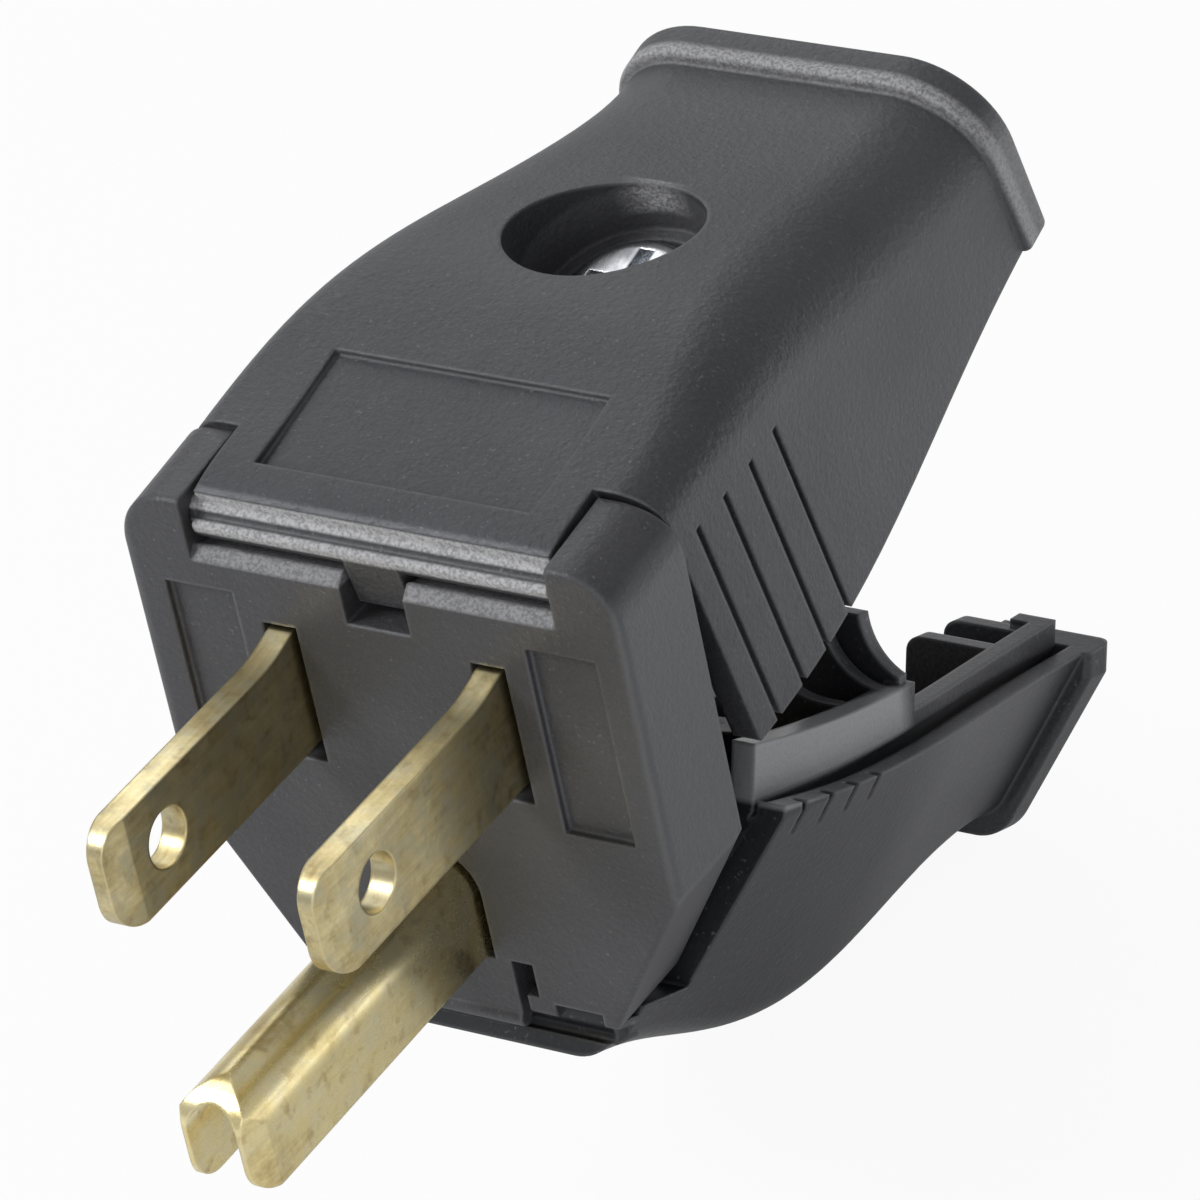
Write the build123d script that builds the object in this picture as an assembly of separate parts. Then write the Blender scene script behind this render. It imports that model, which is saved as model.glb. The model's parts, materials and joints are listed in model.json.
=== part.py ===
from build123d import *
import os
from math import cos, hypot, pi

# Grounding plug whose two covers hinge on the face block, in millimetres.
# Origin: on the face plane, midway between the flat blades. Blades point to -Y, the upper cover is at +Z.
# Each cover is drawn shut, then swung to the open pose of the rest position.

# Pose of the covers
upper_open = 12.0
lower_open = 21.3

# Blades
blade_pitch = 12.7
blade_width = 6.35
blade_thick = 1.5
blade_reach = 17.9
blade_hole_radius = 1.6
blade_hole_y = -13.0
blade_tip_top_radius = 1.7
blade_tip_low_radius = 2.2
blade_bevel_length = 2.0
blade_bevel_depth = 0.3
flare_length = 2.2
flare_rise = 0.6
flare_round = 8.0
shoulder_rise = 2.0
shoulder_depth = 1.6
tab_length = 11.5
tab_half = 3.9

# Ground pin
pin_drop = 11.9
pin_width = 4.6
pin_height = 6.0
pin_wall = 0.75
pin_reach = 21.6
pin_tip_round = 1.9
pin_crown_round = 2.4
pin_bevel_length = 1.6
pin_bevel_depth = 0.5
pin_shoulder = 0.5

# Face block
side_half = 15.2
block_depth = 6.2
block_knee_z = -8.5
block_base_half = 9.3
block_base_z = -18.4
face_round = 0.35
ear_front_z = 10.75
ear_back_z = 11.5
ear_corner = 3.2
lip_z = 7.8
lip_chamfer = 0.6
deck_z = 8.8
panel_inner = 8.9
panel_outer = 13.1
panel_top = 5.6
panel_low = -5.8
panel_depth = 0.45
notch_half = 1.95
notch_low_z = 5.0
notch_depth = 4.7
slot_gap = 0.3
slot_over = 0.9
slot_under = 1.15

# Upper hinge
hinge_y = 1.8
hinge_z = 9.3
bar_radius = 1.45
bar_half = 10.75
ledge_rise = 0.3
ledge_round = 0.3
trunnion_radius = 0.9
trunnion_length = 1.3
trunnion_gap = 0.15
stop_half = 1.65
stop_low_z = 6.0
stop_thick = 1.3
hinge_gap = 0.35

# Lower hinge
low_hinge_y = 2.6
low_hinge_z = -19.2
low_bar_radius = 1.4
low_bar_half = 8.3
low_web_half = 1.0
snap_half = 3.5
snap_end_z = -19.4
snap_bead_radius = 0.55
snap_bead_proud = 0.2
snap_bead_drop = 0.1
snap_slot_width = 1.35
snap_slot_top = -15.1
snap_slot_step = -17.2
snap_slit_width = 0.6
window_inner = 5.7
low_front_y = 1.0
low_front_wall = 1.3
low_front_top = -20.6
low_side_top = -19.25

# Covers
cover_wall = 1.7
cover_top = 10.85
cover_front_y = 1.45
cover_gap = 0.3
cover_lean = 0.8
side_inset = 0.1
skirt = 4.0
roof_edge_round = 0.5
front_corner = 2.7
rear_corner = 5.2
least_round = 0.5
waist_y = 43.0
waist_half = 12.0
waist_top = 3.1
taper_end = 45.0
parting_z = -8.4
parting_front_z = -6.4
parting_belly_y = 26.0
parting_belly_z = -8.5
parting_back_z = -7.7
parting_gap = 1.0
grip_end = 9.0
slope_start = 15.0
lip_length = 2.7
lip_rise = 0.7
lip_flare = 0.4
flange_drop = 1.2
flange_knee_z = -10.0
lip_front_round = 0.4
lip_back_round = 0.9
end_wall = 2.0
base_half = 7.6
base_z = -21.6
belly_y = 17.5
belly_z = -23.75
waist_base_half = 6.6
waist_base_z = -19.1
base_corner = 2.6
cord_radius = 5.5
loft_stations = 8

# Details on the covers
recess_half = 8.4
recess_front = 3.9
recess_back = 12.4
recess_depth = 0.35
groove_first = 8.4
groove_step = 2.75
groove_count = 4
groove_width = 0.5
groove_depth = 0.5
groove_top = 6.8
groove_drop = 0.4
short_groove_depth = 0.8
short_groove_low = -10.9
rail_wall = 1.2
rail_channel = 0.8
rail_thick = 1.4
rail_rise = 2.45
rail_clear = 0.4
rail_end = 25.0
rail_lap = 0.4
tongue_rise = 0.95
tongue_thick = 1.1
tongue_hook = 1.2
channel_depth = 1.6
root_depth = 3.4
jaw_first = 38.0
jaw_step = 4.1
jaw_count = 2
jaw_thick = 1.2
jaw_inner = 4.0
jaw_top = -7.5
jaw_round = 0.9
rib_bottom = -4.2
guide_places = ((19.0, 9.8), (22.7, 11.6), (24.5, 12.9))
guide_thick = 1.0
guide_radius = 4.2
guide_low_z = -6.0
guide_peak_z = -2.6
guide_inner = 6.4

# Clamp screw
well_y = 25.6
well_radius = 5.3
well_step_z = 3.4
well_wall = 1.2
head_hole_radius = 4.4
seat_z = 1.9
seat_thick = 2.0
clamp_head_radius = 3.8
clamp_head_height = 2.7
clamp_shank_radius = 2.0
clamp_tip_z = -12.6
shank_gap = 0.3
thread_gap = 0.1
retainer_radius = 3.8
retainer_thick = 1.0
nut_side = 7.0
nut_thick = 2.4
nut_gap = 0.2
post_radius = 5.6
post_top = -9.4
post_bore_z = -14.0

# Terminals
core_back = 18.2
core_top = 6.2
plate_half = 11.2
plate_top = 8.4
plate_low = -15.9
plate_thick = 1.4
plate_knee_z = -7.0
plate_low_half = 6.6
shelf_thick = 1.2
shelf_half = 9.6
terminal_y = 12.7
screw_head_radius = 2.9
screw_head_height = 1.9
screw_shank_radius = 1.45
screw_length = 7.2
tap_radius = 1.55
bore_room = 0.4
clamp_side = 7.0
clamp_thick = 1.2
clamp_lip = 0.6
clamp_lip_width = 0.9
clamp_corner = 0.8
cross_width = 0.9
cross_reach = 1.9
cross_depth = 1.1
clamp_cross_reach = 2.5
clamp_cross_depth = 1.5
head_round_share = 0.45
tip_chamfer_share = 0.3

# Derived places
hinge_axis = Axis((0, hinge_y, hinge_z), (1, 0, 0))
low_hinge_axis = Axis((0, low_hinge_y, low_hinge_z), (1, 0, 0))
blade_x = blade_pitch / 2
blade_half = blade_width / 2
blade_side = blade_thick / 2
ear_radius = block_depth - hinge_y
ear_rise = ear_back_z - ear_front_z
ear_inner = bar_half + hinge_gap
cover_half_front = side_half - side_inset
cover_back = waist_y + lip_length
cavity_end = cover_back - end_wall
tongue_end = cavity_end - cover_gap
pin_top = -pin_drop + pin_height / 2
pin_low = -pin_drop - pin_height / 2
pin_half = pin_width / 2
shoulder_front = block_depth - shoulder_depth
plate_back = block_depth + plate_thick
rail_start = block_depth + rail_clear
tab_back = block_depth + tab_length
core_half = blade_x - blade_side
shelf_z = tab_half + slot_gap
rail_inset = rail_wall + rail_channel
stack_top = clamp_lip + clamp_thick
over = 1.0
big = 60.0
upright = (Align.CENTER, Align.CENTER, Align.MIN)


def outline(*points):
    return Polygon(*points, align=None)


def along_x(sketch, start, end):
    """Sketch drawn in (y, z), run along X."""
    return extrude(Plane.YZ.offset(start) * sketch, end - start, dir=(1, 0, 0))


def along_y(sketch, start, end):
    """Sketch drawn in (x, z), run along Y."""
    return extrude(Plane.XZ.offset(-start) * sketch, end - start, dir=(0, 1, 0))


def along_z(sketch, start, end):
    """Sketch drawn in (x, y), run along Z."""
    return extrude(Plane.XY.offset(start) * sketch, end - start, dir=(0, 0, 1))


def block(x, y, z):
    """Box between two limits on each axis."""
    size = (x[1] - x[0], y[1] - y[0], z[1] - z[0])
    return Pos(x[0], y[0], z[0]) * Box(*size, align=(Align.MIN, Align.MIN, Align.MIN))


def both_sides(solid):
    return solid + mirror(solid, Plane.YZ)


def rod(center, radius, start, end):
    """Round bar along X at a (y, z) center."""
    return along_x(Pos(*center) * Circle(radius), start, end)


def post(radius, y, low, high=big):
    """Upright round post on the middle plane."""
    return Pos(0, y, low) * Cylinder(radius, high - low, align=upright)


def front_waste(y, z, radius):
    """Waste outside a rounded front edge at (y, z)."""
    corner = outline((y, z - radius), (y + radius, z - radius), (y + radius, z), (y, z))
    return corner - Pos(y + radius, z - radius) * Circle(radius)


def ease(value, start, end):
    """Soft step from 0 to 1."""
    share = min(max((value - start) / (end - start), 0), 1)
    return (1 - cos(pi * share)) / 2


def cover_half(y):
    return cover_half_front - (cover_half_front - waist_half) * ease(y, grip_end, taper_end)


def cover_height(y):
    return cover_top - (cover_top - waist_top) * ease(y, slope_start, taper_end)


def corner_radius(y):
    return front_corner + (rear_corner - front_corner) * ease(y, block_depth, well_y)


def parting_area(rise):
    """Region of (y, z) under the bowed parting line, moved up by rise."""
    front = (-over, parting_front_z + rise)
    back = (cover_back + over, parting_back_z + rise)
    edge = ThreePointArc(front, (parting_belly_y, parting_belly_z + rise), back)
    return make_face([edge, Polyline(back, (back[0], -big), (front[0], -big), front)])


def under_parting(rise):
    return along_x(parting_area(rise), -big, big)


def upper_section(y, inset=0.0, grow=0.0, rise=0.0):
    half = cover_half(y) - inset + grow
    top = cover_height(y) - inset + rise
    low = parting_z - skirt
    shape = outline((-half, low), (half, low), (half - cover_lean, top), (cover_lean - half, top))
    radius = max(corner_radius(y) - inset + grow, least_round)
    return fillet(shape.vertices().sort_by(Axis.Y)[-2:], radius)


def lower_base(y):
    """Half width and height of the floor of the lower cover."""
    rise = ease(y, belly_y, waist_y)
    half = base_half + (waist_base_half - base_half) * rise
    low = base_z + (belly_z - base_z) * ease(y, low_front_y, belly_y) + (waist_base_z - belly_z) * rise
    return half, low


def lower_section(y, inset=0.0, grow=0.0, drop=0.0, knee=block_knee_z):
    half = cover_half(y) - inset + grow
    low_half, low = lower_base(y)
    low_half += grow - inset
    low += inset - drop
    shape = outline((-half, 0), (half, 0), (half, knee), (low_half, low), (-low_half, low), (-half, knee))
    return fillet(shape.vertices().sort_by(Axis.Y)[:2], max(base_corner - inset, least_round))


def cover_loft(section, start, end, inset=0.0):
    places = [start + (end - start) * step / (loft_stations - 1) for step in range(loft_stations)]
    return loft([Plane.XZ.offset(-y) * section(y, inset) for y in places])


def face_outline():
    """Face of the block: upright sides above slanting lower sides."""
    return outline((-side_half, ear_back_z), (side_half, ear_back_z), (side_half, block_knee_z),
                   (block_base_half, block_base_z), (-block_base_half, block_base_z),
                   (-side_half, block_knee_z))


def arch(half, low, top):
    """Round-topped arch in (x, z)."""
    leg = outline((-half, low), (half, low), (half, top - half), (-half, top - half))
    return leg + Pos(0, top - half) * Circle(half)


def pin_room():
    return arch(pin_half + slot_gap, pin_low - slot_gap, pin_top + slot_gap)


def cross_recess(reach, depth):
    """Cross-head recess below z = 0."""
    bar = Pos(0, 0, -depth / 2) * Box(2 * reach, cross_width, depth)
    return bar + Rot(0, 0, 90) * bar


def pan_screw(head_radius, head_height, shank_radius, length, reach, depth):
    """Screw with its seat at z = 0, head up, shank down."""
    head = Cylinder(head_radius, head_height, align=upright)
    head = fillet(head.edges().sort_by(Axis.Z)[-1], head_height * head_round_share)
    shank = Pos(0, 0, -length) * Cylinder(shank_radius, length, align=upright)
    shank = chamfer(shank.edges().sort_by(Axis.Z)[0], shank_radius * tip_chamfer_share)
    return head + shank - Pos(0, 0, head_height) * cross_recess(reach, depth)


def make_face_block():
    # oblique hood gives the ears their sloping, round-cornered tops
    hood = outline((-side_half, -big), (side_half, -big), (side_half, ear_front_z), (-side_half, ear_front_z))
    hood = fillet(hood.vertices().sort_by(Axis.Y)[-2:], ear_corner)
    hood = extrude(Plane.XZ * hood, hypot(block_depth, ear_rise), dir=(0, block_depth, ear_rise))
    body = along_y(face_outline(), 0, block_depth) & hood
    body = fillet(body.edges().filter_by_position(Axis.Y, 0, 0), face_round)
    # backs of the ears are round about the hinge
    corner = outline((hinge_y, hinge_z), (big, hinge_z), (big, big), (hinge_y, big))
    body -= along_x(corner - Pos(hinge_y, hinge_z) * Circle(ear_radius), -big, big)
    # trough, lip and deck between the ears
    trough = Pos(hinge_y, hinge_z) * Circle(bar_radius + hinge_gap)
    trough += outline((-over, lip_z), (hinge_y, lip_z), (hinge_y, deck_z), (big, deck_z), (big, big),
                      (-over, big))
    body -= along_x(trough, -ear_inner, ear_inner)
    body -= along_x(outline((0, lip_z - lip_chamfer), (lip_chamfer, lip_z), (0, lip_z)), -ear_inner, ear_inner)
    socket = rod((hinge_y, hinge_z), trunnion_radius + trunnion_gap, ear_inner - over,
                 bar_half + trunnion_length + hinge_gap)
    body -= both_sides(socket)
    body -= block((-notch_half, notch_half), (-over, notch_depth), (notch_low_z, big))
    # bare panels
    body -= both_sides(block((panel_inner, panel_outer), (-over, panel_depth), (panel_low, panel_top)))
    # blade slots and shoulder pockets
    slot_x = (core_half - slot_gap, core_half + blade_thick + slot_gap)
    slot = block(slot_x, (-over, big), (-blade_half - slot_under, blade_half + slot_over))
    pocket_half = blade_half + shoulder_rise + slot_gap
    pocket = block(slot_x, (shoulder_front, big), (-pocket_half, pocket_half))
    body -= both_sides(slot + pocket)
    body -= along_y(pin_room(), -over, big)
    pocket_half = tab_half + pin_shoulder + slot_gap
    body -= block((-pocket_half, pocket_half), (shoulder_front, big),
                  (pin_top - pin_wall - slot_gap, pin_top + slot_gap))
    # lower hinge: trough, windows in front of the bar, snap tab between its slots
    trough_half = low_bar_half + hinge_gap
    trough_radius = low_bar_radius + hinge_gap
    body -= rod((low_hinge_y, low_hinge_z), trough_radius, -trough_half, trough_half)
    front = (-over, low_hinge_y)
    window = block((window_inner, trough_half), front, (-big, low_hinge_z + trough_radius))
    slot = block((snap_half, snap_half + snap_slot_width), front, (snap_slot_step, snap_slot_top))
    slit = block((snap_half, snap_half + snap_slit_width), front, (-big, snap_slot_step))
    body -= both_sides(window + slot + slit)
    snap_back = low_hinge_y - trough_radius
    snap = outline((0, snap_slot_step), (snap_back, snap_slot_step), (snap_back, snap_end_z), (0, snap_end_z))
    snap += Pos(snap_bead_radius - snap_bead_proud,
                snap_end_z + snap_bead_radius - snap_bead_drop) * Circle(snap_bead_radius)
    return body + along_x(snap, -snap_half, snap_half)


def make_terminal_body():
    plate = outline((-plate_half, plate_top), (plate_half, plate_top), (plate_half, plate_knee_z),
                    (plate_low_half, plate_low), (-plate_low_half, plate_low), (-plate_half, plate_knee_z))
    body = along_y(plate, block_depth, plate_back)
    body += block((-core_half, core_half), (block_depth, core_back), (pin_top, core_top))
    for low in (shelf_z, -shelf_z - shelf_thick):
        body += block((-shelf_half, shelf_half), (block_depth, core_back), (low, low + shelf_thick))
    # ways through the plate for the tabs and the pin
    way = block((core_half, core_half + blade_thick + slot_gap), (-over, plate_back), (-shelf_z, shelf_z))
    body -= both_sides(way)
    body -= along_y(pin_room(), -over, plate_back)
    body -= block((-shelf_z, shelf_z), (-over, plate_back), (pin_top - pin_wall - slot_gap, pin_top))
    # screw bores
    bore_radius = tap_radius + bore_room
    body -= rod((terminal_y, 0), bore_radius, -core_half - over, core_half + over)
    return body - post(bore_radius, terminal_y, pin_top - over, pin_top + screw_length - stack_top)


def make_blade():
    """Line blade at +X: tip, flare at the face, shoulder, terminal tab."""
    tip = -blade_reach
    wide = blade_half + shoulder_rise
    shape = outline((tip, -blade_half), (shoulder_front, -blade_half), (shoulder_front, -wide),
                    (block_depth, -wide), (block_depth, -tab_half), (tab_back, -tab_half),
                    (tab_back, tab_half), (block_depth, tab_half), (block_depth, wide),
                    (shoulder_front, wide), (shoulder_front, blade_half + flare_rise),
                    (0, blade_half + flare_rise), (-flare_length, blade_half), (tip, blade_half))
    shape = fillet(shape.vertices().sort_by_distance((-flare_length, blade_half))[0], flare_round)
    ends = shape.vertices().sort_by(Axis.X)[:2].sort_by(Axis.Y)
    shape = fillet(ends[1], blade_tip_top_radius)
    shape = fillet(shape.vertices().sort_by(Axis.X)[0], blade_tip_low_radius)
    shape -= Pos(blade_hole_y, 0) * Circle(blade_hole_radius)
    shape -= Pos(terminal_y, 0) * Circle(tap_radius)
    solid = along_x(shape, blade_x - blade_side, blade_x + blade_side)
    side = blade_x + blade_side
    bevel = outline((side + over, tip - over), (side + over, tip + blade_bevel_length),
                    (side, tip + blade_bevel_length), (side - blade_bevel_depth, tip),
                    (side - blade_bevel_depth, tip - over))
    cut = along_z(bevel, -big, big)
    return solid - cut - mirror(cut, Plane.YZ.offset(blade_x))


def make_ground_pin():
    """Folded pin of arch section, with a shoulder and a terminal tab at the back."""
    tip = -pin_reach
    section = arch(pin_half, pin_low, pin_top) - arch(pin_half - pin_wall, pin_low - over, pin_top - pin_wall)
    side = outline((tip, pin_low), (block_depth, pin_low), (block_depth, pin_top), (tip, pin_top))
    side = fillet(side.vertices().group_by(Axis.Y)[-1].sort_by(Axis.X)[0], pin_crown_round)
    side = fillet(side.vertices().group_by(Axis.Y)[0].sort_by(Axis.X)[0], pin_tip_round)
    tip_half = pin_half - pin_bevel_depth
    bevel_y = tip + pin_bevel_length
    plan = outline((-pin_half, block_depth), (-pin_half, bevel_y), (-tip_half, tip), (tip_half, tip),
                   (pin_half, bevel_y), (pin_half, block_depth))
    solid = along_y(section, tip, block_depth) & along_x(side, -pin_half, pin_half)
    solid = solid & along_z(plan, pin_low, pin_top)
    shoulder = tab_half + pin_shoulder
    solid += block((-shoulder, shoulder), (shoulder_front, block_depth), (pin_top - pin_wall, pin_top))
    solid += block((-tab_half, tab_half), (shoulder_front, tab_back), (pin_top - pin_wall, pin_top))
    return solid - post(tap_radius, terminal_y, pin_low, pin_top + over)


def make_wire_clamp():
    """Clamp plate with turned lips that bear on the tab at z = 0."""
    side = clamp_side / 2
    plate = block((-side, side), (-side, side), (clamp_lip, stack_top))
    plate = fillet(plate.edges().filter_by(Axis.Z), clamp_corner)
    lip_half = side - clamp_corner
    lip = block((-lip_half, lip_half), (-side, clamp_lip_width - side), (0, stack_top))
    return plate + lip + mirror(lip, Plane.XZ) - post(tap_radius, 0, -over)


def make_upper_cover():
    outer = cover_loft(upper_section, cover_front_y, waist_y)
    inner = cover_loft(upper_section, cover_front_y - over, cavity_end, cover_wall)
    lip = along_y(upper_section(waist_y, 0, lip_flare, lip_rise), waist_y, cover_back)
    lip = fillet(lip.edges().filter_by_position(Axis.Y, cover_back, cover_back), lip_back_round)
    lip = fillet(lip.edges().filter_by_position(Axis.Y, waist_y, waist_y), lip_front_round)
    cover = outer + lip - inner
    cover -= along_x(front_waste(cover_front_y, cover_top, roof_edge_round), -big, big)
    # cord ribs and screw boss hang from the roof
    for step in range(jaw_count):
        rib_y = jaw_first + jaw_step * (step - 0.5)
        rib = block((-big, big), (rib_y - jaw_thick / 2, rib_y + jaw_thick / 2), (rib_bottom, big))
        cover += rib & inner
    cover += post(well_radius + well_wall, well_y, seat_z - seat_thick) & outer
    cover -= post(well_radius, well_y, well_step_z)
    cover -= post(head_hole_radius, well_y, seat_z)
    cover -= post(clamp_shank_radius + shank_gap, well_y, parting_z)
    # room for the ears and the block, parting face, cord opening, bare recess
    room = outline((-over, -big), (block_depth + cover_gap, -big), (block_depth + cover_gap, hinge_z),
                   (hinge_y, hinge_z), (hinge_y, big), (-over, big))
    room += Pos(hinge_y, hinge_z) * Circle(ear_radius + cover_gap)
    cover -= both_sides(along_x(room, bar_half, big))
    cover -= under_parting(parting_gap / 2)
    cover -= along_y(Pos(0, parting_z) * Circle(cord_radius), jaw_first - jaw_step, big)
    cover -= block((-recess_half, recess_half), (recess_front, recess_back), (cover_top - recess_depth, big))
    # grip grooves follow the lean of the side
    for step in range(groove_count):
        groove_y = groove_first + groove_step * step
        floor = cover_half(groove_y) - groove_depth
        low = parting_z - skirt
        top = groove_top - groove_drop * step
        lean = cover_lean * (top - low) / (cover_height(groove_y) - low)
        groove = outline((floor, low), (big, low), (big, top), (floor - lean, top))
        cover -= both_sides(along_y(groove, groove_y - groove_width / 2, groove_y + groove_width / 2))
    # hinge bar with a ledge in front of the roof, trunnions and stop tab
    bar = Pos(hinge_y, hinge_z) * Circle(bar_radius)
    ledge_z = hinge_z + ledge_rise
    bar -= outline((-big, ledge_z), (cover_front_y, ledge_z), (cover_front_y, big), (-big, big))
    bar = fillet(bar.vertices().sort_by(Axis.X)[0], ledge_round)
    cover += along_x(bar, -bar_half, bar_half)
    trunnion_end = bar_half + trunnion_length
    cover += rod((hinge_y, hinge_z), trunnion_radius, -trunnion_end, trunnion_end)
    stop_front = hinge_y - bar_radius
    stop = outline((stop_front, hinge_z), (stop_front, stop_low_z), (stop_front + stop_thick, stop_low_z),
                   (hinge_y + bar_radius / 2, hinge_z))
    return cover + along_x(stop, -stop_half, stop_half)


def rail(inset, thick, start, end, rise):
    """Upright wall that follows the side of the lower cover up to the parting line and beyond by rise."""
    wall = cover_loft(lower_section, rail_start, cavity_end, inset)
    wall -= cover_loft(lower_section, rail_start - over, cover_back, inset + thick)
    return wall & under_parting(rise) & block((-big, big), (start, end), (parting_z - root_depth, big))


def make_lower_cover():
    outer = cover_loft(lower_section, low_front_y, waist_y)
    inner = cover_loft(lower_section, low_front_y - over, cavity_end, cover_wall)
    flange = along_y(lower_section(waist_y, 0, lip_flare, flange_drop, flange_knee_z), waist_y, cover_back)
    flange = fillet(flange.edges().filter_by_position(Axis.Y, cover_back, cover_back), lip_back_round)
    flange = fillet(flange.edges().filter_by_position(Axis.Y, waist_y, waist_y), lip_front_round)
    cover = outer + flange - inner
    cover = cover & under_parting(-parting_gap / 2)
    # rails with a channel outside them, on a root that joins them to the side
    root_inset = cover_wall - rail_lap
    cover += rail(root_inset, rail_inset + rail_thick - root_inset, rail_start, cavity_end, -channel_depth)
    cover -= rail(rail_wall, rail_channel, rail_start, cavity_end, 0) - under_parting(-channel_depth)
    cover += rail(rail_inset, rail_thick, rail_start, rail_end, rail_rise)
    cover += rail(rail_inset, tongue_thick, rail_end, tongue_end, tongue_rise)
    cover += rail(rail_inset, tongue_thick + tongue_hook, tongue_end - tongue_thick, tongue_end, tongue_rise)
    # cord jaws, hollow-backed wire guides and the nut post stand on the floor
    room = cover_loft(lower_section, rail_start, cavity_end, rail_inset + tongue_thick / 2)
    for step in range(jaw_count):
        jaw_y = jaw_first + jaw_step * step
        jaw = outline((jaw_inner, -big), (big, -big), (big, jaw_top), (jaw_inner, jaw_top))
        jaw = fillet(jaw.vertices().group_by(Axis.Y)[-1].sort_by(Axis.X)[0], jaw_round)
        cover += both_sides(along_y(jaw, jaw_y - jaw_thick / 2, jaw_y + jaw_thick / 2)) & room
    for guide_y, guide_x in guide_places:
        guide = outline((guide_inner, -big), (big, -big), (big, guide_low_z), (guide_x, guide_low_z),
                        (guide_x, guide_peak_z), (guide_inner, guide_peak_z))
        guide -= Pos(guide_x, guide_low_z + guide_radius) * Circle(guide_radius)
        cover += both_sides(along_y(guide, guide_y - guide_thick / 2, guide_y + guide_thick / 2)) & room
    cover += post(post_radius, well_y, -big, post_top) & outer
    nut = nut_side / 2 + nut_gap
    cover -= block((-nut, nut), (well_y - nut, well_y + nut), (post_top - nut_thick - nut_gap, big))
    cover -= post(clamp_shank_radius + shank_gap, well_y, post_bore_z)
    cover -= along_y(Pos(0, parting_z) * Circle(cord_radius), cavity_end - over, big)
    # short grip grooves run out on the slanting side
    for step in range(groove_count):
        groove_y = groove_first + groove_step * step
        floor = cover_half(groove_y) - short_groove_depth
        groove = block((floor, big), (groove_y - groove_width / 2, groove_y + groove_width / 2),
                       (short_groove_low, big))
        cover -= both_sides(groove)
    # front wall, room for the block, hinge bar on its web
    cover += along_y(lower_section(low_front_y), low_front_y, low_front_y + low_front_wall)
    cover -= block((-big, big), (-big, low_hinge_y), (low_side_top, big))
    window_half = low_bar_half + hinge_gap
    cover -= block((-window_half, window_half), (-big, low_hinge_y), (low_front_top, big))
    cover -= along_y(offset(face_outline(), cover_gap), -over, block_depth + cover_gap)
    bar = Pos(low_hinge_y, low_hinge_z) * Circle(low_bar_radius)
    bar += outline((low_hinge_y - low_web_half, low_hinge_z), (low_hinge_y + low_web_half, low_hinge_z),
                   (low_hinge_y + low_web_half, base_z + cover_wall / 2),
                   (low_hinge_y - low_web_half, base_z + cover_wall / 2))
    return cover + along_x(bar, -low_bar_half, low_bar_half)


def make_retainer():
    top = seat_z - seat_thick
    ring = post(retainer_radius, well_y, top - retainer_thick, top)
    return ring - post(clamp_shank_radius + thread_gap, well_y, top - retainer_thick)


def make_clamp_nut():
    low = post_top - nut_thick - nut_gap
    nut = Pos(0, well_y, low) * Box(nut_side, nut_side, nut_thick, align=upright)
    return nut - post(clamp_shank_radius + thread_gap, well_y, low)


clamp_screw = pan_screw(clamp_head_radius, clamp_head_height, clamp_shank_radius, seat_z - clamp_tip_z,
                        clamp_cross_reach, clamp_cross_depth)
terminal_screw = pan_screw(screw_head_radius, screw_head_height, screw_shank_radius, screw_length,
                           cross_reach, cross_depth)
wire_clamp = make_wire_clamp()
side_seat = Pos(blade_x + blade_side, terminal_y, 0) * Rot(0, 90, 0)
ground_seat = Pos(0, terminal_y, pin_top - pin_wall) * Rot(180, 0, 0)

line_blade = make_blade()
line_clamp = side_seat * wire_clamp
line_screw = side_seat * Pos(0, 0, stack_top) * terminal_screw

upper_pieces = {
    "upper_cover": make_upper_cover(),
    "clamp_screw": Pos(0, well_y, seat_z) * clamp_screw,
    "screw_retainer": make_retainer(),
}
lower_pieces = {
    "lower_cover": make_lower_cover(),
    "clamp_nut": make_clamp_nut(),
}
pieces = {
    "face_block": make_face_block(),
    "terminal_body": make_terminal_body(),
    "line_blade": line_blade,
    "neutral_blade": mirror(line_blade, Plane.YZ),
    "ground_pin": make_ground_pin(),
    "line_clamp": line_clamp,
    "neutral_clamp": mirror(line_clamp, Plane.YZ),
    "ground_clamp": ground_seat * wire_clamp,
    "line_screw": line_screw,
    "neutral_screw": mirror(line_screw, Plane.YZ),
    "ground_screw": ground_seat * Pos(0, 0, stack_top) * terminal_screw,
}
for name, piece in upper_pieces.items():
    pieces[name] = piece.rotate(hinge_axis, upper_open)
for name, piece in lower_pieces.items():
    pieces[name] = piece.rotate(low_hinge_axis, -lower_open)

os.makedirs("parts", exist_ok=True)
for name, piece in pieces.items():
    export_step(piece, f"parts/{name}.step")
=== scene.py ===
import bpy
import bmesh
import json
from math import cos, radians, sin
from mathutils import Matrix, Vector


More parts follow.
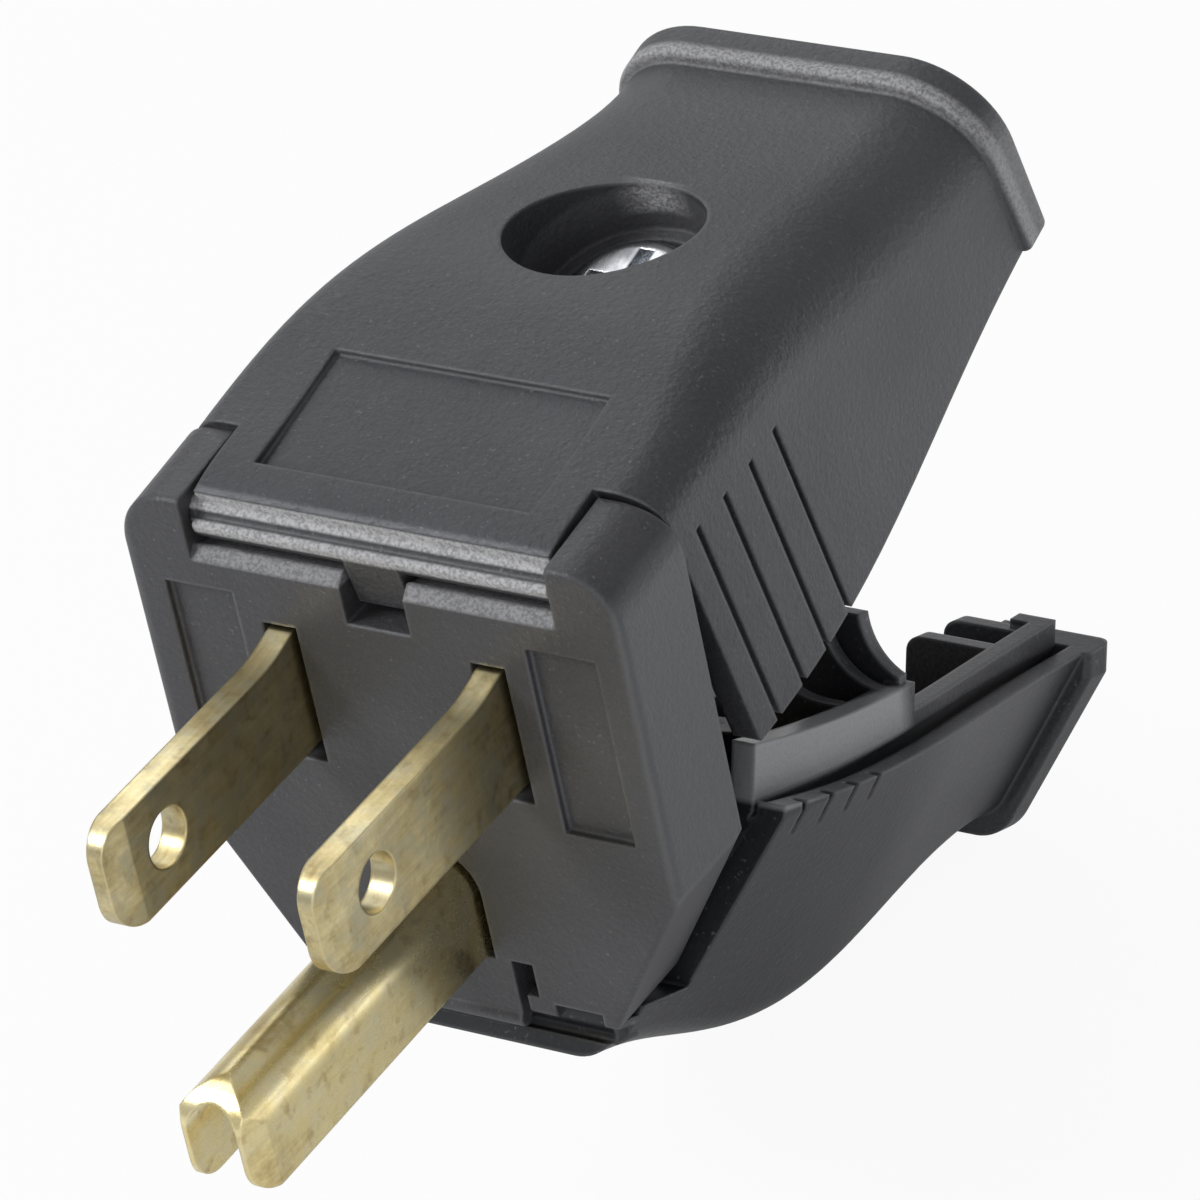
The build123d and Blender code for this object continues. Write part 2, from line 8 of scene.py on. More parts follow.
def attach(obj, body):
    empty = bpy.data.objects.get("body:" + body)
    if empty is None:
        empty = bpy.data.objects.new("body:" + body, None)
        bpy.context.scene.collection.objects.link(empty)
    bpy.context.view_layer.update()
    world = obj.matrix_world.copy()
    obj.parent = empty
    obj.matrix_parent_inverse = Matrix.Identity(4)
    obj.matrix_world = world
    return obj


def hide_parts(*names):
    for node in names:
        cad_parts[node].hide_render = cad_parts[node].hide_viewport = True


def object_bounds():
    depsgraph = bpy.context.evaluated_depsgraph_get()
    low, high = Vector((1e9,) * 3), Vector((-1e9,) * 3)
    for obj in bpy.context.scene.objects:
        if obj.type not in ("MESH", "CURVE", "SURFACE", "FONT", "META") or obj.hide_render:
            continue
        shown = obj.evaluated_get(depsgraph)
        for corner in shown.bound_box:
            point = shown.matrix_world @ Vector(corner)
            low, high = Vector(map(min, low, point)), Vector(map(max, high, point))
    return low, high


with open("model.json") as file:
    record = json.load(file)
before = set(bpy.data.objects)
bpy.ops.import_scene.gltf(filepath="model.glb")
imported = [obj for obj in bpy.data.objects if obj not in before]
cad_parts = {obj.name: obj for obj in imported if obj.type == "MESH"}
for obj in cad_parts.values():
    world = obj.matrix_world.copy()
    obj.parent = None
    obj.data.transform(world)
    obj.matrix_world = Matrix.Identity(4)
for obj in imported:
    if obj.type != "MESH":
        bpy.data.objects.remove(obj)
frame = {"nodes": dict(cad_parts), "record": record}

nodes = frame["nodes"]
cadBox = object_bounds()


# node helpers, the owner is a material or the world
def startMaterial(name):
    material = bpy.data.materials.new(name)
    material.use_nodes = True
    shader = material.node_tree.nodes["Principled BSDF"]
    return material, shader


def addNode(owner, kind, **values):
    node = owner.node_tree.nodes.new(kind)
    for key, value in values.items():
        if hasattr(node, key):
            setattr(node, key, value)
        else:
            node.inputs[key].default_value = value
    return node


def wire(owner, source, target):
    owner.node_tree.links.new(source, target)


def addRamp(owner, source, places, colors):
    node = addNode(owner, "ShaderNodeValToRGB")
    elements = node.color_ramp.elements
    while len(elements) < len(places):
        elements.new(0.5)
    for element, place, color in zip(elements, places, colors):
        element.position = place
        element.color = (*color, 1)
    wire(owner, source, node.inputs["Fac"])
    return node.outputs["Color"]


def addRange(owner, source, low, high, toLow, toHigh):
    node = addNode(owner, "ShaderNodeMapRange")
    for key, value in (("From Min", low), ("From Max", high), ("To Min", toLow), ("To Max", toHigh)):
        node.inputs[key].default_value = value
    wire(owner, source, node.inputs["Value"])
    return node.outputs["Result"]


def addNoise(owner, coords, scale, detail, roughness, stretch=None):
    if stretch:
        mapping = addNode(owner, "ShaderNodeMapping", Scale=stretch)
        wire(owner, coords, mapping.inputs["Vector"])
        coords = mapping.outputs["Vector"]
    noise = addNode(owner, "ShaderNodeTexNoise", Scale=scale, Detail=detail, Roughness=roughness)
    wire(owner, coords, noise.inputs["Vector"])
    return noise.outputs["Fac"]


def addMath(owner, kind, first, second):
    node = addNode(owner, "ShaderNodeMath", operation=kind)
    for value, socket in zip((first, second), node.inputs):
        if isinstance(value, (int, float)):
            socket.default_value = value
        else:
            wire(owner, value, socket)
    return node.outputs["Value"]


def addShares(owner, first, firstShare, second, secondShare):
    return addMath(owner, "ADD", addMath(owner, "MULTIPLY", first, firstShare),
                   addMath(owner, "MULTIPLY", second, secondShare))


def mixColor(owner, share, first, second):
    node = addNode(owner, "ShaderNodeMix", data_type="RGBA")
    wire(owner, share, node.inputs[0])
    for value, socket in ((first, node.inputs[6]), (second, node.inputs[7])):    # the color sockets A and B
        if isinstance(value, tuple):
            socket.default_value = (*value, 1)
        else:
            wire(owner, value, socket)
    return node.outputs[2]


def dotProduct(owner, source):
    node = addNode(owner, "ShaderNodeVectorMath", operation="DOT_PRODUCT")
    wire(owner, source, node.inputs[0])
    return node


# softened corners, and a mask of where the surface turns one
cornerLook = {"samples": 6, "flat": 0.995, "turned": 0.86}


def roundedNormal(owner, radius):
    bevel = addNode(owner, "ShaderNodeBevel", samples=cornerLook["samples"], Radius=radius)
    return bevel.outputs["Normal"]


def cornerMask(owner, normal):
    turn = dotProduct(owner, normal)
    wire(owner, addNode(owner, "ShaderNodeNewGeometry").outputs["Normal"], turn.inputs[1])
    return addRange(owner, turn.outputs["Value"], cornerLook["flat"], cornerLook["turned"], 0, 1)


def addBump(owner, height, normal, depth):
    bump = addNode(owner, "ShaderNodeBump", Distance=depth, Strength=1)
    wire(owner, height, bump.inputs["Height"])
    wire(owner, normal, bump.inputs["Normal"])
    return bump.outputs["Normal"]


# 1 inside every limit of a place: between low and high along a direction, metres, with soft ends
def bandMask(owner, coords, limits):
    share = None
    for direction, low, high, soft in limits:
        node = dotProduct(owner, coords)
        node.inputs[1].default_value = direction
        along = node.outputs["Value"]
        rise = addRange(owner, along, low - soft, low + soft, 0, 1)
        fall = addRange(owner, along, high - soft, high + soft, 1, 0)
        band = addMath(owner, "MULTIPLY", rise, fall)
        share = addMath(owner, "MULTIPLY", share, band) if share else band
    return share


def wireSurface(material, shader, color, rough, normal):
    wire(material, color, shader.inputs["Base Color"])
    wire(material, rough, shader.inputs["Roughness"])
    wire(material, normal, shader.inputs["Normal"])


# moulded black plastic, spark textured, with edges painted bright: part rubbed wear, part painted highlight
coverFinish = {
    "face": {"dark": (0.045, 0.045, 0.049), "light": (0.066, 0.066, 0.071),
             "rough": (0.36, 0.46), "depth": 0.000040},
    "upper": {"dark": (0.037, 0.038, 0.042), "light": (0.061, 0.062, 0.068),
              "rough": (0.36, 0.48), "depth": 0.000055},
    # lower: the same black plastic drawn darker than the upper parts, as painted shade on the cover that faces
    # down
    "lower": {"dark": (0.015, 0.016, 0.019), "light": (0.025, 0.026, 0.030),
              "rough": (0.30, 0.40), "depth": 0.000020},
}
coverGrain = {
    "cloud": {"scale": 120, "detail": 4, "roughness": 0.6},
    "grain": {"scale": 4800, "detail": 3, "roughness": 0.6},
    "spark": {"scale": 3900, "detail": 2, "roughness": 0.5},
    "flow": {"scale": 45, "detail": 3, "roughness": 0.5, "stretch": (1, 0.5, 1)},
    "mottle": {"scale": 5200, "detail": 2, "roughness": 0.6},
    "cloudShare": 0.45, "grainShare": 0.55, "toneFrom": (0.36, 0.64), "flowFrom": (0.3, 0.7),
    "pitScale": 2100, "pitShare": 0.6,
}
coverWearAndHighlight = {
    "gloss": 0.45, "sheen": (0.92, 0.95, 1.0),
    "fleck": (0.16, 0.16, 0.165), "fleckFrom": (0.66, 0.74), "fleckShare": 0.6,    # bright tips of the texture
    # edge, edgeShare: edges painted paler, part rubbed wear and part painted highlight
    "edge": (0.22, 0.22, 0.23), "edgeShare": 0.38, "edgeRadius": 0.00034, "edgePolish": 0.12,
    "mottleFrom": (0.36, 0.6),
}

# directions on the opened plug
bothSides = ((1, 0, 0), (-1, 0, 0))
rightward, rearward, upward = (1, 0, 0), (0, 1, 0), (0, 0, 1)
screwAxis = (0, -0.208, 0.978)
alongUpper = (0, 0.978, 0.208)
alongLower = (0, 0.932, -0.363)
throughLip = (0, 1, 0.25)
throughBar = (0, 1, 1)
aboveRail = (0, 0.42, 1)

# places with painted light: pale tints painted on as highlight, sheen or light falling there; tint, how much
# of it, how mottled and how rough
paintedLight = {
    # hinge ledge: pale mottled band as painted highlight on the block's lip bevel
    "hingeLedge": {"tint": (0.30, 0.30, 0.31), "share": 0.8, "mottle": 0.6, "rough": 0.55},
    # block sides: painted light, sides drawn paler
    "blockSide": {"tint": (0.115, 0.117, 0.124), "share": 0.7, "mottle": 0.2, "rough": 0.38},
    # neck: painted sheen where the curved neck catches light
    "neck": {"tint": (0.13, 0.13, 0.137), "share": 0.3, "mottle": 0.3, "rough": 0.42},
    # hinge bar: pale mottled bands as painted highlight along its rounded front
    "hingeBar": {"tint": (0.50, 0.50, 0.51), "share": 0.95, "mottle": 0.5, "rough": 0.55},
    # lip front: pale band as painted highlight on the lip's front rim
    "lipFront": {"tint": (0.42, 0.42, 0.43), "share": 0.9, "mottle": 0.6, "rough": 0.5},
    # lip sides: painted light on the lip's side run
    "lipSide": {"tint": (0.30, 0.30, 0.305), "share": 0.6, "mottle": 0.4, "rough": 0.45},
    # screw well: painted light on the well's inner wall, which lies in shade
    "screwWell": {"tint": (0.14, 0.14, 0.15), "share": 0.5, "mottle": 0.2, "rough": 0.45},
    # patch on the well's back wall near its rim: painted highlight, a lit patch
    "wellBackHighlight": {"tint": (0.52, 0.52, 0.53), "share": 0.9, "mottle": 0.7, "rough": 0.5},
    # lower rear: painted light on the rear of the lower cover
    "lowerRear": {"tint": (0.15, 0.15, 0.157), "share": 0.5, "mottle": 0.5, "rough": 0.40},
    # snap rails: pale bluish tint as painted sheen; the lower roughness gives them a smoother finish
    "snapRail": {"tint": (0.34, 0.348, 0.366), "share": 0.9, "mottle": 0.1, "rough": 0.22},
}

# where each one lies: direction, low, high and soft end of each limit
wellInside = [(rightward, -0.0055, 0.0055, 0.0002), (alongUpper, 0.0220, 0.0330, 0.0002),
              (screwAxis, -0.1, 0.0058, 0.0002)]
paintedLightPlaces = {
    "face": [
        ("hingeLedge", [(upward, 0.00718, 0.0080, 0.0001), (rightward, -0.0109, 0.0109, 0.0001)]),
        *(("blockSide", [(side, 0.0147, 0.02, 0.0002)]) for side in bothSides),
    ],
    "upper": [
        ("neck", [(alongUpper, 0.0370, 0.1, 0.004)]),
        ("hingeBar", [(rearward, -0.01, 0.0017, 0.0002), (throughBar, 0.01075, 0.0118, 0.0001)]),
        ("hingeBar", [(upward, 0.0087, 0.02, 0.0001), (throughBar, 0.0088, 0.01005, 0.0001)]),
        ("lipFront", [(throughLip, 0.0463, 0.0472, 0.0002)]),
        ("lipSide", [(throughLip, 0.0464, 0.0600, 0.0002), (upward, -0.01, 0.0095, 0.001)]),
        ("screwWell", wellInside),
        ("wellBackHighlight", [(rightward, -0.0019, 0.0008, 0.0009), (rearward, 0.0290, 0.0313, 0.0001),
                         (screwAxis, 0.0041, 0.0059, 0.0003)]),
    ],
    "lower": [
        ("lowerRear", [(alongLower, 0.0325, 0.0487, 0.0035)]),
        *(("snapRail", [(aboveRail, -0.0059, 0.1, 0.0002), (rearward, -0.1, 0.0268, 0.0008),
                        (side, 0.0113, 0.02, 0.0002)]) for side in bothSides),
    ],
}


def blackPlastic(part):
    look = coverFinish[part]
    material, shader = startMaterial(part + "Plastic")
    shader.inputs["Specular IOR Level"].default_value = coverWearAndHighlight["gloss"]
    shader.inputs["Specular Tint"].default_value = (*coverWearAndHighlight["sheen"], 1)
    coords = addNode(material, "ShaderNodeTexCoord").outputs["Object"]
    cloud, grain, spark, flow, mottle = (addNoise(material, coords, **coverGrain[key])
                                         for key in ("cloud", "grain", "spark", "flow", "mottle"))
    pits = addNode(material, "ShaderNodeTexVoronoi", Scale=coverGrain["pitScale"])
    wire(material, coords, pits.inputs["Vector"])
    normal = roundedNormal(material, coverWearAndHighlight["edgeRadius"])
    edge = cornerMask(material, normal)
    if part == "upper":    # no painted bright edges down in the shaded screw well
        edge = addMath(material, "SUBTRACT", edge, bandMask(material, coords, wellInside))
        edge = addMath(material, "MAXIMUM", edge, 0)

    tone = addShares(material, cloud, coverGrain["cloudShare"], grain, coverGrain["grainShare"])
    color = addRamp(material, tone, coverGrain["toneFrom"], (look["dark"], look["light"]))
    fleck = addRange(material, spark, *coverWearAndHighlight["fleckFrom"], 0, coverWearAndHighlight["fleckShare"])
    color = mixColor(material, fleck, color, coverWearAndHighlight["fleck"])
    edgeShare = addMath(material, "MULTIPLY", edge, coverWearAndHighlight["edgeShare"])
    color = mixColor(material, edgeShare, color, coverWearAndHighlight["edge"])
    rough = addRange(material, flow, *coverGrain["flowFrom"], *look["rough"])
    polish = addMath(material, "MULTIPLY", edge, coverWearAndHighlight["edgePolish"])
    rough = addMath(material, "SUBTRACT", rough, polish)

    # each place mixes its pale tint into the colour as painted light, highlight or sheen, mottled, and sets
    # its roughness
    for name, limits in paintedLightPlaces[part]:
        place = paintedLight[name]
        share = addMath(material, "MULTIPLY", bandMask(material, coords, limits), place["share"])
        patchMottle = addRange(material, mottle, *coverWearAndHighlight["mottleFrom"], 1 - place["mottle"], 1)
        color = mixColor(material, addMath(material, "MULTIPLY", share, patchMottle), color, place["tint"])
        change = addMath(material, "SUBTRACT", place["rough"], rough)
        rough = addMath(material, "ADD", rough, addMath(material, "MULTIPLY", share, change))

    pitDepth = addMath(material, "MULTIPLY", pits.outputs["Distance"], coverGrain["pitShare"])
    height = addMath(material, "ADD", grain, pitDepth)
    wireSurface(material, shader, color, rough, addBump(material, height, normal, look["depth"]))
    return material


# brown-black insulator with pale filler specks
insulatorFinish = {
    "dark": (0.030, 0.026, 0.024), "light": (0.055, 0.048, 0.044), "toneFrom": (0.32, 0.7),
    "speck": (0.13, 0.115, 0.10), "speckFrom": (0.64, 0.7), "speckShare": 0.6,
    "rough": (0.3, 0.46), "roughFrom": (0.3, 0.7), "edgeRadius": 0.0002, "depth": 0.000012,
    "cloud": {"scale": 260, "detail": 5, "roughness": 0.65},
    "specks": {"scale": 2100, "detail": 2, "roughness": 0.5},
}


def insulatorPlastic():
    look = insulatorFinish
    material, shader = startMaterial("insulatorPlastic")
    coords = addNode(material, "ShaderNodeTexCoord").outputs["Object"]
    cloud, specks = (addNoise(material, coords, **look[key]) for key in ("cloud", "specks"))
    normal = roundedNormal(material, look["edgeRadius"])
    color = addRamp(material, cloud, look["toneFrom"], (look["dark"], look["light"]))
    speckShare = addRange(material, specks, *look["speckFrom"], 0, look["speckShare"])
    color = mixColor(material, speckShare, color, look["speck"])
    rough = addRange(material, cloud, *look["roughFrom"], *look["rough"])
    wireSurface(material, shader, color, rough, addBump(material, specks, normal, look["depth"]))
    return material


# rolled brass strip, streaked along its length, browned in patches under a grey film
brassFinish = {
    "blade": {"bright": (0.80, 0.70, 0.41), "plain": (0.59, 0.495, 0.26), "brown": (0.31, 0.23, 0.105),
              "film": (0.48, 0.46, 0.33), "grain": (1, 0.045, 1), "rough": (0.29, 0.45)},
    "pin": {"bright": (0.96, 0.84, 0.48), "plain": (0.88, 0.745, 0.38), "brown": (0.52, 0.38, 0.16),
            "film": (0.84, 0.76, 0.50), "grain": (1, 0.045, 1), "rough": (0.22, 0.36)},
    "clamp": {"bright": (0.78, 0.66, 0.40), "plain": (0.60, 0.49, 0.27), "brown": (0.33, 0.24, 0.12),
              "film": (0.56, 0.51, 0.38), "grain": (1, 1, 0.06), "rough": (0.24, 0.42)},
}
brassWear = {
    "streak": {"scale": 2600, "detail": 4, "roughness": 0.6},
    "patch": {"scale": 230, "detail": 7, "roughness": 0.68},
    "spots": {"scale": 900, "detail": 3, "roughness": 0.6},
    "film": {"scale": 560, "detail": 5, "roughness": 0.7},
    "patchShare": 0.75, "streakShare": 0.3, "stainFrom": (0.38, 0.53, 0.74), "roughFrom": (0.35, 0.75),
    "filmFrom": (0.45, 0.62), "filmShare": 0.65, "spotFrom": (0.56, 0.74), "spotShare": 0.7,
    "edgeRadius": 0.00022, "edgeShare": 0.7, "depth": 0.000006,
}


def tarnishedBrass(part):
    look = brassFinish[part]
    material, shader = startMaterial(part + "Brass")
    shader.inputs["Metallic"].default_value = 1
    coords = addNode(material, "ShaderNodeTexCoord").outputs["Object"]
    streak = addNoise(material, coords, **brassWear["streak"], stretch=look["grain"])
    patch, spots, film = (addNoise(material, coords, **brassWear[key]) for key in ("patch", "spots", "film"))
    normal = roundedNormal(material, brassWear["edgeRadius"])
    stain = addShares(material, patch, brassWear["patchShare"], streak, brassWear["streakShare"])
    stains = (look["bright"], look["plain"], look["brown"])
    color = addRamp(material, stain, brassWear["stainFrom"], stains)
    filmShare = addRange(material, film, *brassWear["filmFrom"], 0, brassWear["filmShare"])
    color = mixColor(material, filmShare, color, look["film"])
    spotShare = addRange(material, spots, *brassWear["spotFrom"], 0, brassWear["spotShare"])
    color = mixColor(material, spotShare, color, look["brown"])
    edgeShare = addMath(material, "MULTIPLY", cornerMask(material, normal), brassWear["edgeShare"])
    color = mixColor(material, edgeShare, color, look["bright"])
    rough = addRange(material, stain, *brassWear["roughFrom"], *look["rough"])
    wireSurface(material, shader, color, rough, addBump(material, streak, normal, brassWear["depth"]))
    return material


# zinc plated steel, cloudy, a little scuffed
zincFinish = {
    "bright": {"bright": (0.80, 0.82, 0.84), "dull": (0.36, 0.37, 0.40), "rough": (0.16, 0.34)},
    "dull": {"bright": (0.20, 0.20, 0.21), "dull": (0.07, 0.07, 0.075), "rough": (0.38, 0.55)},
}
zincWear = {
    "cloud": {"scale": 520, "detail": 5, "roughness": 0.62},
    "scuff": {"scale": 2400, "detail": 3, "roughness": 0.6, "stretch": (1, 0.15, 1)},
    "toneFrom": (0.34, 0.68), "roughFrom": (0.3, 0.7),
    "edgeRadius": 0.00015, "edgeShare": 0.6, "depth": 0.000006,
}


def platedZinc(part):
    look = zincFinish[part]
    material, shader = startMaterial(part + "Zinc")
    shader.inputs["Metallic"].default_value = 1
    coords = addNode(material, "ShaderNodeTexCoord").outputs["Object"]
    cloud, scuff = (addNoise(material, coords, **zincWear[key]) for key in ("cloud", "scuff"))
    normal = roundedNormal(material, zincWear["edgeRadius"])
    color = addRamp(material, cloud, zincWear["toneFrom"], (look["bright"], look["dull"]))
    edgeShare = addMath(material, "MULTIPLY", cornerMask(material, normal), zincWear["edgeShare"])
    color = mixColor(material, edgeShare, color, look["bright"])
    rough = addRange(material, cloud, *zincWear["roughFrom"], *look["rough"])
    wireSurface(material, shader, color, rough, addBump(material, scuff, normal, zincWear["depth"]))
    return material


finishes = {
    blackPlastic("face"): ["face_block"],
    blackPlastic("upper"): ["upper_cover"],
    blackPlastic("lower"): ["lower_cover"],
    insulatorPlastic(): ["terminal_body"],
    tarnishedBrass("blade"): ["line_blade", "neutral_blade"],
    tarnishedBrass("pin"): ["ground_pin"],
    tarnishedBrass("clamp"): ["line_clamp", "neutral_clamp", "ground_clamp"],
    platedZinc("bright"): ["line_screw", "neutral_screw", "ground_screw", "clamp_screw"],
    platedZinc("dull"): ["screw_retainer", "clamp_nut"],
}
for material, names in finishes.items():
    for name in names:
        for slot in nodes[name].material_slots:
            slot.material = material
print("finishes:", len(finishes))


# clamp screw: the head of the solid on a real thread, metres along the screw from its seat
screwLook = {
    "crest": 0.00197, "root": 0.00158, "pitch": 0.0008, "start": -0.0009, "tip": -0.0145, "tipTaper": 0.72,
    "rootEnd": 0.12, "crestStart": 0.47, "crestEnd": 0.65,    # shares of one pitch
    "turnSteps": 28, "spareTurns": 2, "cut": -0.0004, "neck": -0.0011, "sharp": 35,
    "threadWeld": 0.000004, "headWeld": 0.000002, "cutWeld": 0.000001,
}


def pick(items, kind):
    return [item for item in items if isinstance(item, kind)]


def cutAcross(bm, point, direction, **cleared):
    whole = bm.verts[:] + bm.edges[:] + bm.faces[:]
    cut = bmesh.ops.bisect_plane(bm, geom=whole, dist=screwLook["cutWeld"], plane_co=point,
                                 plane_no=direction, **cleared)["geom_cut"]
    return pick(cut, bmesh.types.BMVert), pick(cut, bmesh.types.BMEdge)


def makeThread(place):
    bm = bmesh.new()
    pitch, root, crest = (screwLook[key] for key in ("pitch", "root", "crest"))
    spare = screwLook["spareTurns"]    # turns past each end, cut off below
    turns = round((screwLook["start"] - screwLook["tip"]) / pitch) + 2 * spare
    top = screwLook["start"] + spare * pitch
    corners = ((root, 0), (root, screwLook["rootEnd"]), (crest, screwLook["crestStart"]),
               (crest, screwLook["crestEnd"]), (root, 1))
    verts = [bm.verts.new((radius, 0, top - share * pitch)) for radius, share in corners]
    line = [bm.edges.new(pair) for pair in zip(verts, verts[1:])]
    turnSteps = screwLook["turnSteps"]
    bmesh.ops.spin(bm, geom=verts + line, cent=(0, 0, 0), axis=(0, 0, 1), angle=radians(360) * turns,
                   dvec=(0, 0, -pitch / turnSteps), steps=turns * turnSteps, use_merge=False)
    bmesh.ops.remove_doubles(bm, verts=bm.verts, dist=screwLook["threadWeld"])
    for end, side in (("start", 1), ("tip", -1)):
        ends, rim = cutAcross(bm, (0, 0, screwLook[end]), (0, 0, side), clear_outer=True)
        bmesh.ops.holes_fill(bm, edges=rim, sides=0)
        if end == "tip":
            taper = screwLook["tipTaper"]
            bmesh.ops.scale(bm, verts=ends, vec=(taper, taper, 1))
    bmesh.ops.transform(bm, matrix=place, verts=bm.verts)
    mesh = bpy.data.meshes.new("threadPart")
    bm.to_mesh(mesh)
    bm.free()
    return mesh


def makeClampScrew():
    joints = frame["record"]["behaviour"]["joints"]
    joint = next(row for row in joints if row["name"] == "clamp_screw_turn")
    axis = Vector(joint["axis"]).normalized()
    lean = Vector((0, 0, 1)).rotation_difference(axis).to_matrix().to_4x4()
    place = Matrix.Translation(joint["pos_m"]) @ lean
    thread = makeThread(place)

    bm = bmesh.new()    # the head, cut off its plain shank and given a neck
    bm.from_mesh(nodes["clamp_screw"].data)
    bmesh.ops.remove_doubles(bm, verts=bm.verts, dist=screwLook["headWeld"])
    cutPoint = place @ Vector((0, 0, screwLook["cut"]))
    rim = cutAcross(bm, cutPoint, axis, clear_inner=True)[1]
    grown = bmesh.ops.extrude_edge_only(bm, edges=rim)["geom"]
    ends = pick(grown, bmesh.types.BMVert)
    bmesh.ops.translate(bm, verts=ends, vec=axis * (screwLook["neck"] - screwLook["cut"]))
    shrink = screwLook["root"] / screwLook["crest"]
    bmesh.ops.scale(bm, verts=ends, vec=(shrink, shrink, 1), space=place.inverted())
    bmesh.ops.holes_fill(bm, edges=pick(grown, bmesh.types.BMEdge), sides=0)

    bm.from_mesh(thread)
    bpy.data.meshes.remove(thread)
    bmesh.ops.recalc_face_normals(bm, faces=bm.faces)
    for face in bm.faces:
        face.smooth = True
    for edge in bm.edges:
        edge.smooth = edge.is_manifold and edge.calc_face_angle(0) < radians(screwLook["sharp"])
    openEdges = sum(not edge.is_manifold for edge in bm.edges)
    print("clamp screw:", len(bm.faces), "faces, open edges", openEdges)
    mesh = bpy.data.meshes.new("clampScrew")
    bm.to_mesh(mesh)
    bm.free()
    piece = bpy.data.objects.new("clampScrew", mesh)
    bpy.context.scene.collection.objects.link(piece)
    mesh.materials.append(nodes["clamp_screw"].material_slots[0].material)
    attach(piece, "screw")
    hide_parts("clamp_screw")


makeClampScrew()


# share of white that each kind of ray meets
def whiteShare(owner, seen, mirrored):
    path = addNode(owner, "ShaderNodeLightPath")
    total = None
    for key, share in (("Is Camera Ray", seen), ("Is Glossy Ray", mirrored), ("Is Transmission Ray", seen)):
        white = addMath(owner, "MULTIPLY", path.outputs[key], share)
        total = addMath(owner, "MAXIMUM", total, white) if total else white
    return total


# pale floor just under the plug, white to the camera, still taking a soft shadow
floorLook = {"size": 4.0, "drop": 0.0004, "color": (0.86, 0.86, 0.86), "rough": 0.9,
             "white": 0.93, "mirrored": 0.15}


def makeFloor():
    mesh = bpy.data.meshes.new("floor")
    bm = bmesh.new()
    bmesh.ops.create_grid(bm, x_segments=1, y_segments=1, size=floorLook["size"] / 2)
    bmesh.ops.translate(bm, verts=bm.verts, vec=(0, 0, cadBox[0][2] - floorLook["drop"]))
    bm.to_mesh(mesh)
    bm.free()
    floor = bpy.data.objects.new("floor", mesh)
    bpy.context.scene.collection.objects.link(floor)
    material, shader = startMaterial("floorPaper")
    shader.inputs["Base Color"].default_value = (*floorLook["color"], 1)
    shader.inputs["Roughness"].default_value = floorLook["rough"]
    glow = addNode(material, "ShaderNodeEmission", Strength=1)
    blend = addNode(material, "ShaderNodeMixShader")
    wire(material, whiteShare(material, floorLook["white"], floorLook["mirrored"]), blend.inputs[0])
    wire(material, shader.outputs["BSDF"], blend.inputs[1])
    wire(material, glow.outputs["Emission"], blend.inputs[2])
    output = material.node_tree.nodes["Material Output"]
    wire(material, blend.outputs["Shader"], output.inputs["Surface"])
    mesh.materials.append(material)


makeFloor()


# soft lamps: key at the left, two overhead, one behind, a fill in front and a wash on the floor at the right
lampAim = (0, 0.008, -0.006)
lamps = {
    "leftKey": {"place": (-0.34, -0.30, 0.42), "aim": lampAim, "size": 0.22, "power": 1.9},
    "frontTop": {"place": (-0.30, -0.03, 0.46), "aim": lampAim, "size": 0.18, "power": 0.20},
    "overhead": {"place": (-0.26, 0.18, 0.40), "aim": lampAim, "size": 0.16, "power": 0.13},
    "backRim": {"place": (-0.27, 0.36, 0.26), "aim": lampAim, "size": 0.24, "power": 0.22},
    "frontFill": {"place": (0.20, -0.50, 0.22), "aim": lampAim, "size": 0.40, "power": 0.85},
    "floorWash": {"place": (0.16, 0.15, 0.004), "aim": (0.16, 0.15, -0.036), "size": 0.20, "power": 0.215},
}


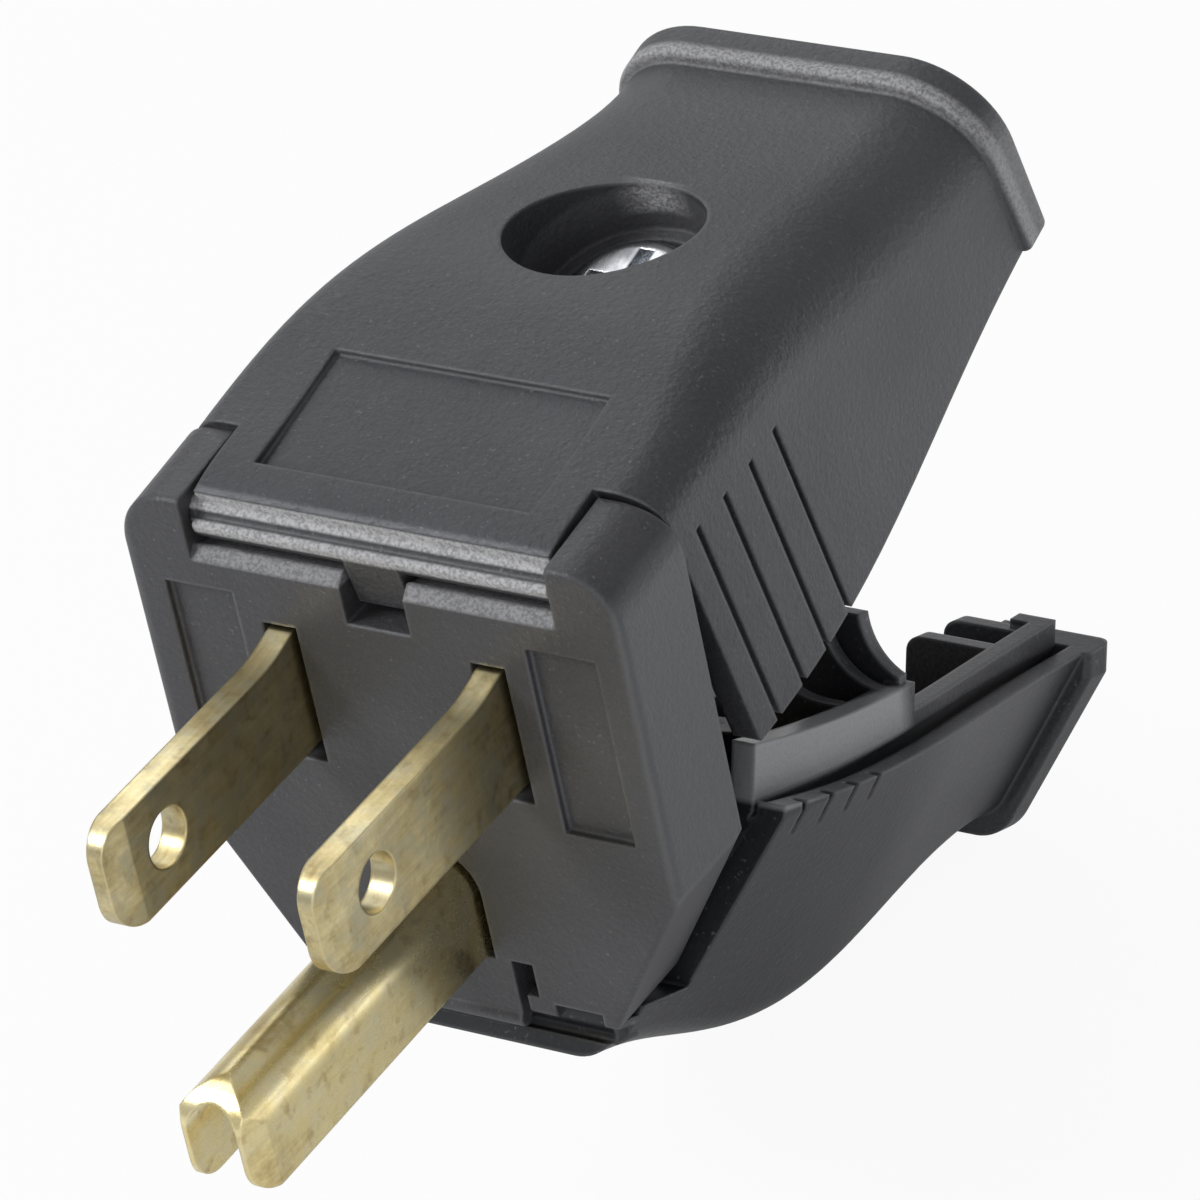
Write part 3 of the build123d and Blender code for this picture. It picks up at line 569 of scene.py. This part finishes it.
def makeLamps():
    for name, look in lamps.items():
        lamp = bpy.data.lights.new(name, "AREA")
        lamp.energy = look["power"]
        lamp.size = look["size"]
        holder = bpy.data.objects.new(name, lamp)
        holder.location = look["place"]
        beam = Vector(look["aim"]) - holder.location
        holder.rotation_euler = beam.to_track_quat("-Z", "Y").to_euler()
        holder.visible_camera = False
        bpy.context.scene.collection.objects.link(holder)


makeLamps()


# studio air: dimmer for light, brighter where it is seen or mirrored
airLook = {"color": (1, 1, 1, 1), "light": 0.26, "seen": 1.0, "mirrored": 0.30}


def makeAir():
    world = bpy.data.worlds.new("studioAir")
    world.use_nodes = True
    world.node_tree.nodes.clear()
    dim, seen = (addNode(world, "ShaderNodeBackground", Color=airLook["color"], Strength=airLook[key])
                 for key in ("light", "seen"))
    blend = addNode(world, "ShaderNodeMixShader")
    wire(world, whiteShare(world, 1, airLook["mirrored"]), blend.inputs[0])
    wire(world, dim.outputs["Background"], blend.inputs[1])
    wire(world, seen.outputs["Background"], blend.inputs[2])
    output = addNode(world, "ShaderNodeOutputWorld")
    wire(world, blend.outputs["Shader"], output.inputs["Surface"])
    bpy.context.scene.world = world


makeAir()
print("stage: floor,", len(lamps), "lamps")


# camera fitted to the photograph: degrees, metres, and millimetres for the lens and sensor
shot = {"turn": 38.01, "tilt": 32.91, "roll": -12.27, "across": -0.01026, "up": 0.00563, "away": 0.40563,
        "lens": 240, "sensor": 36, "near": 0.01}


def makeCamera():
    turn, tilt, roll = (radians(shot[key]) for key in ("turn", "tilt", "roll"))
    back = Vector((sin(turn) * cos(tilt), -cos(turn) * cos(tilt), sin(tilt)))
    level = Vector((cos(turn), sin(turn), 0))
    upright = back.cross(level)
    across = level * cos(roll) + upright * sin(roll)
    up = upright * cos(roll) - level * sin(roll)
    lens = bpy.data.cameras.new("shot")
    lens.lens = shot["lens"]
    lens.sensor_width = shot["sensor"]
    lens.clip_start = shot["near"]
    camera = bpy.data.objects.new("shot", lens)
    camera.matrix_world = Matrix((across, up, back)).transposed().to_4x4()
    camera.location = back * shot["away"] - across * shot["across"] + up * shot["up"]
    bpy.context.scene.collection.objects.link(camera)
    bpy.context.scene.camera = camera


makeCamera()
bpy.context.scene.view_settings.view_transform = "Standard"
print("camera set")
